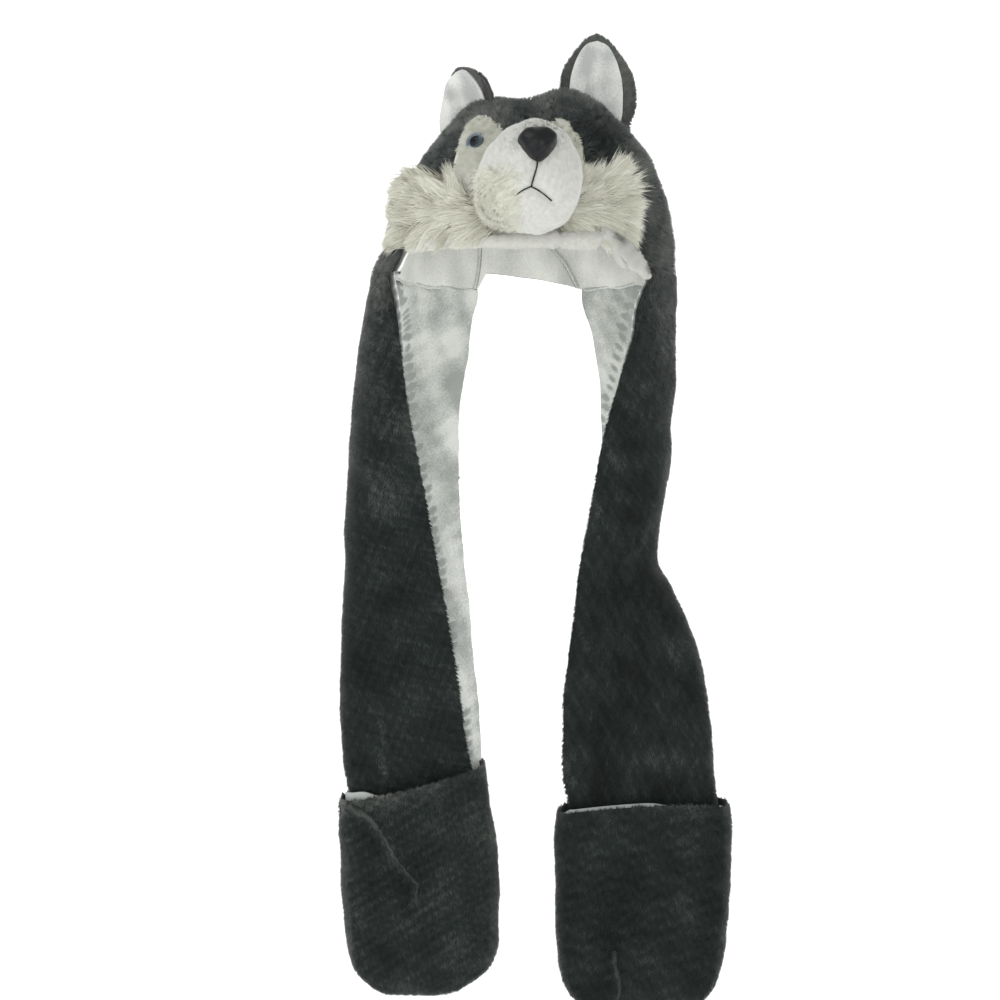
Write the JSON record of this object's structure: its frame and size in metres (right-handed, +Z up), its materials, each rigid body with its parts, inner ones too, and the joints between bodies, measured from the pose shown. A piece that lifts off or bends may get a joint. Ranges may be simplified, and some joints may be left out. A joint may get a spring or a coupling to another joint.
{
  "type": "plush animal hat",
  "caption": "Plush husky hood with stuffed muzzle, upright ears, cheek fur and long folded scarf arms ending in mitten pockets.",
  "frame": {"origin": "top of the hollow for the head, on the inside of the crown lining", "axes": "+Z up, -Y the way the face looks, +X the wearer's left; the arms hang down to -Z"},
  "size_m": [0.3648, 0.3225, 0.913],
  "materials": {
    "dark_plush": "deep dark grey plush with a soft nap",
    "crown_plush": "mottled grey plush, lighter at the pile tips",
    "mask_plush": "short warm grey plush",
    "white_plush": "short white curly plush",
    "long_fur": "long cream fur",
    "fleece": "white fleece with a short matt nap",
    "nose_satin": "black satin cloth",
    "eye_gloss": "glossy moulded plastic"
  },
  "bodies": {
    "root": {"crown_fur": "crown_plush", "face_mask": "mask_plush", "crown_lining": "fleece", "brim_roll": "fleece", "muzzle": "white_plush", "nose": "nose_satin", "eye_left": "eye_gloss", "eye_right": "eye_gloss", "cheek_ruff_left": "long_fur", "cheek_ruff_right": "long_fur", "ear_fur_left": "crown_plush", "ear_fur_right": "crown_plush", "ear_lining_left": "fleece", "ear_lining_right": "fleece", "arm_fur_left": "dark_plush", "arm_fur_right": "dark_plush", "arm_lining_left": "fleece", "arm_lining_right": "fleece", "mitten_pocket_left": "dark_plush", "mitten_pocket_right": "dark_plush", "pocket_lining_left": "fleece", "pocket_lining_right": "fleece"}
  },
  "joints": []
}
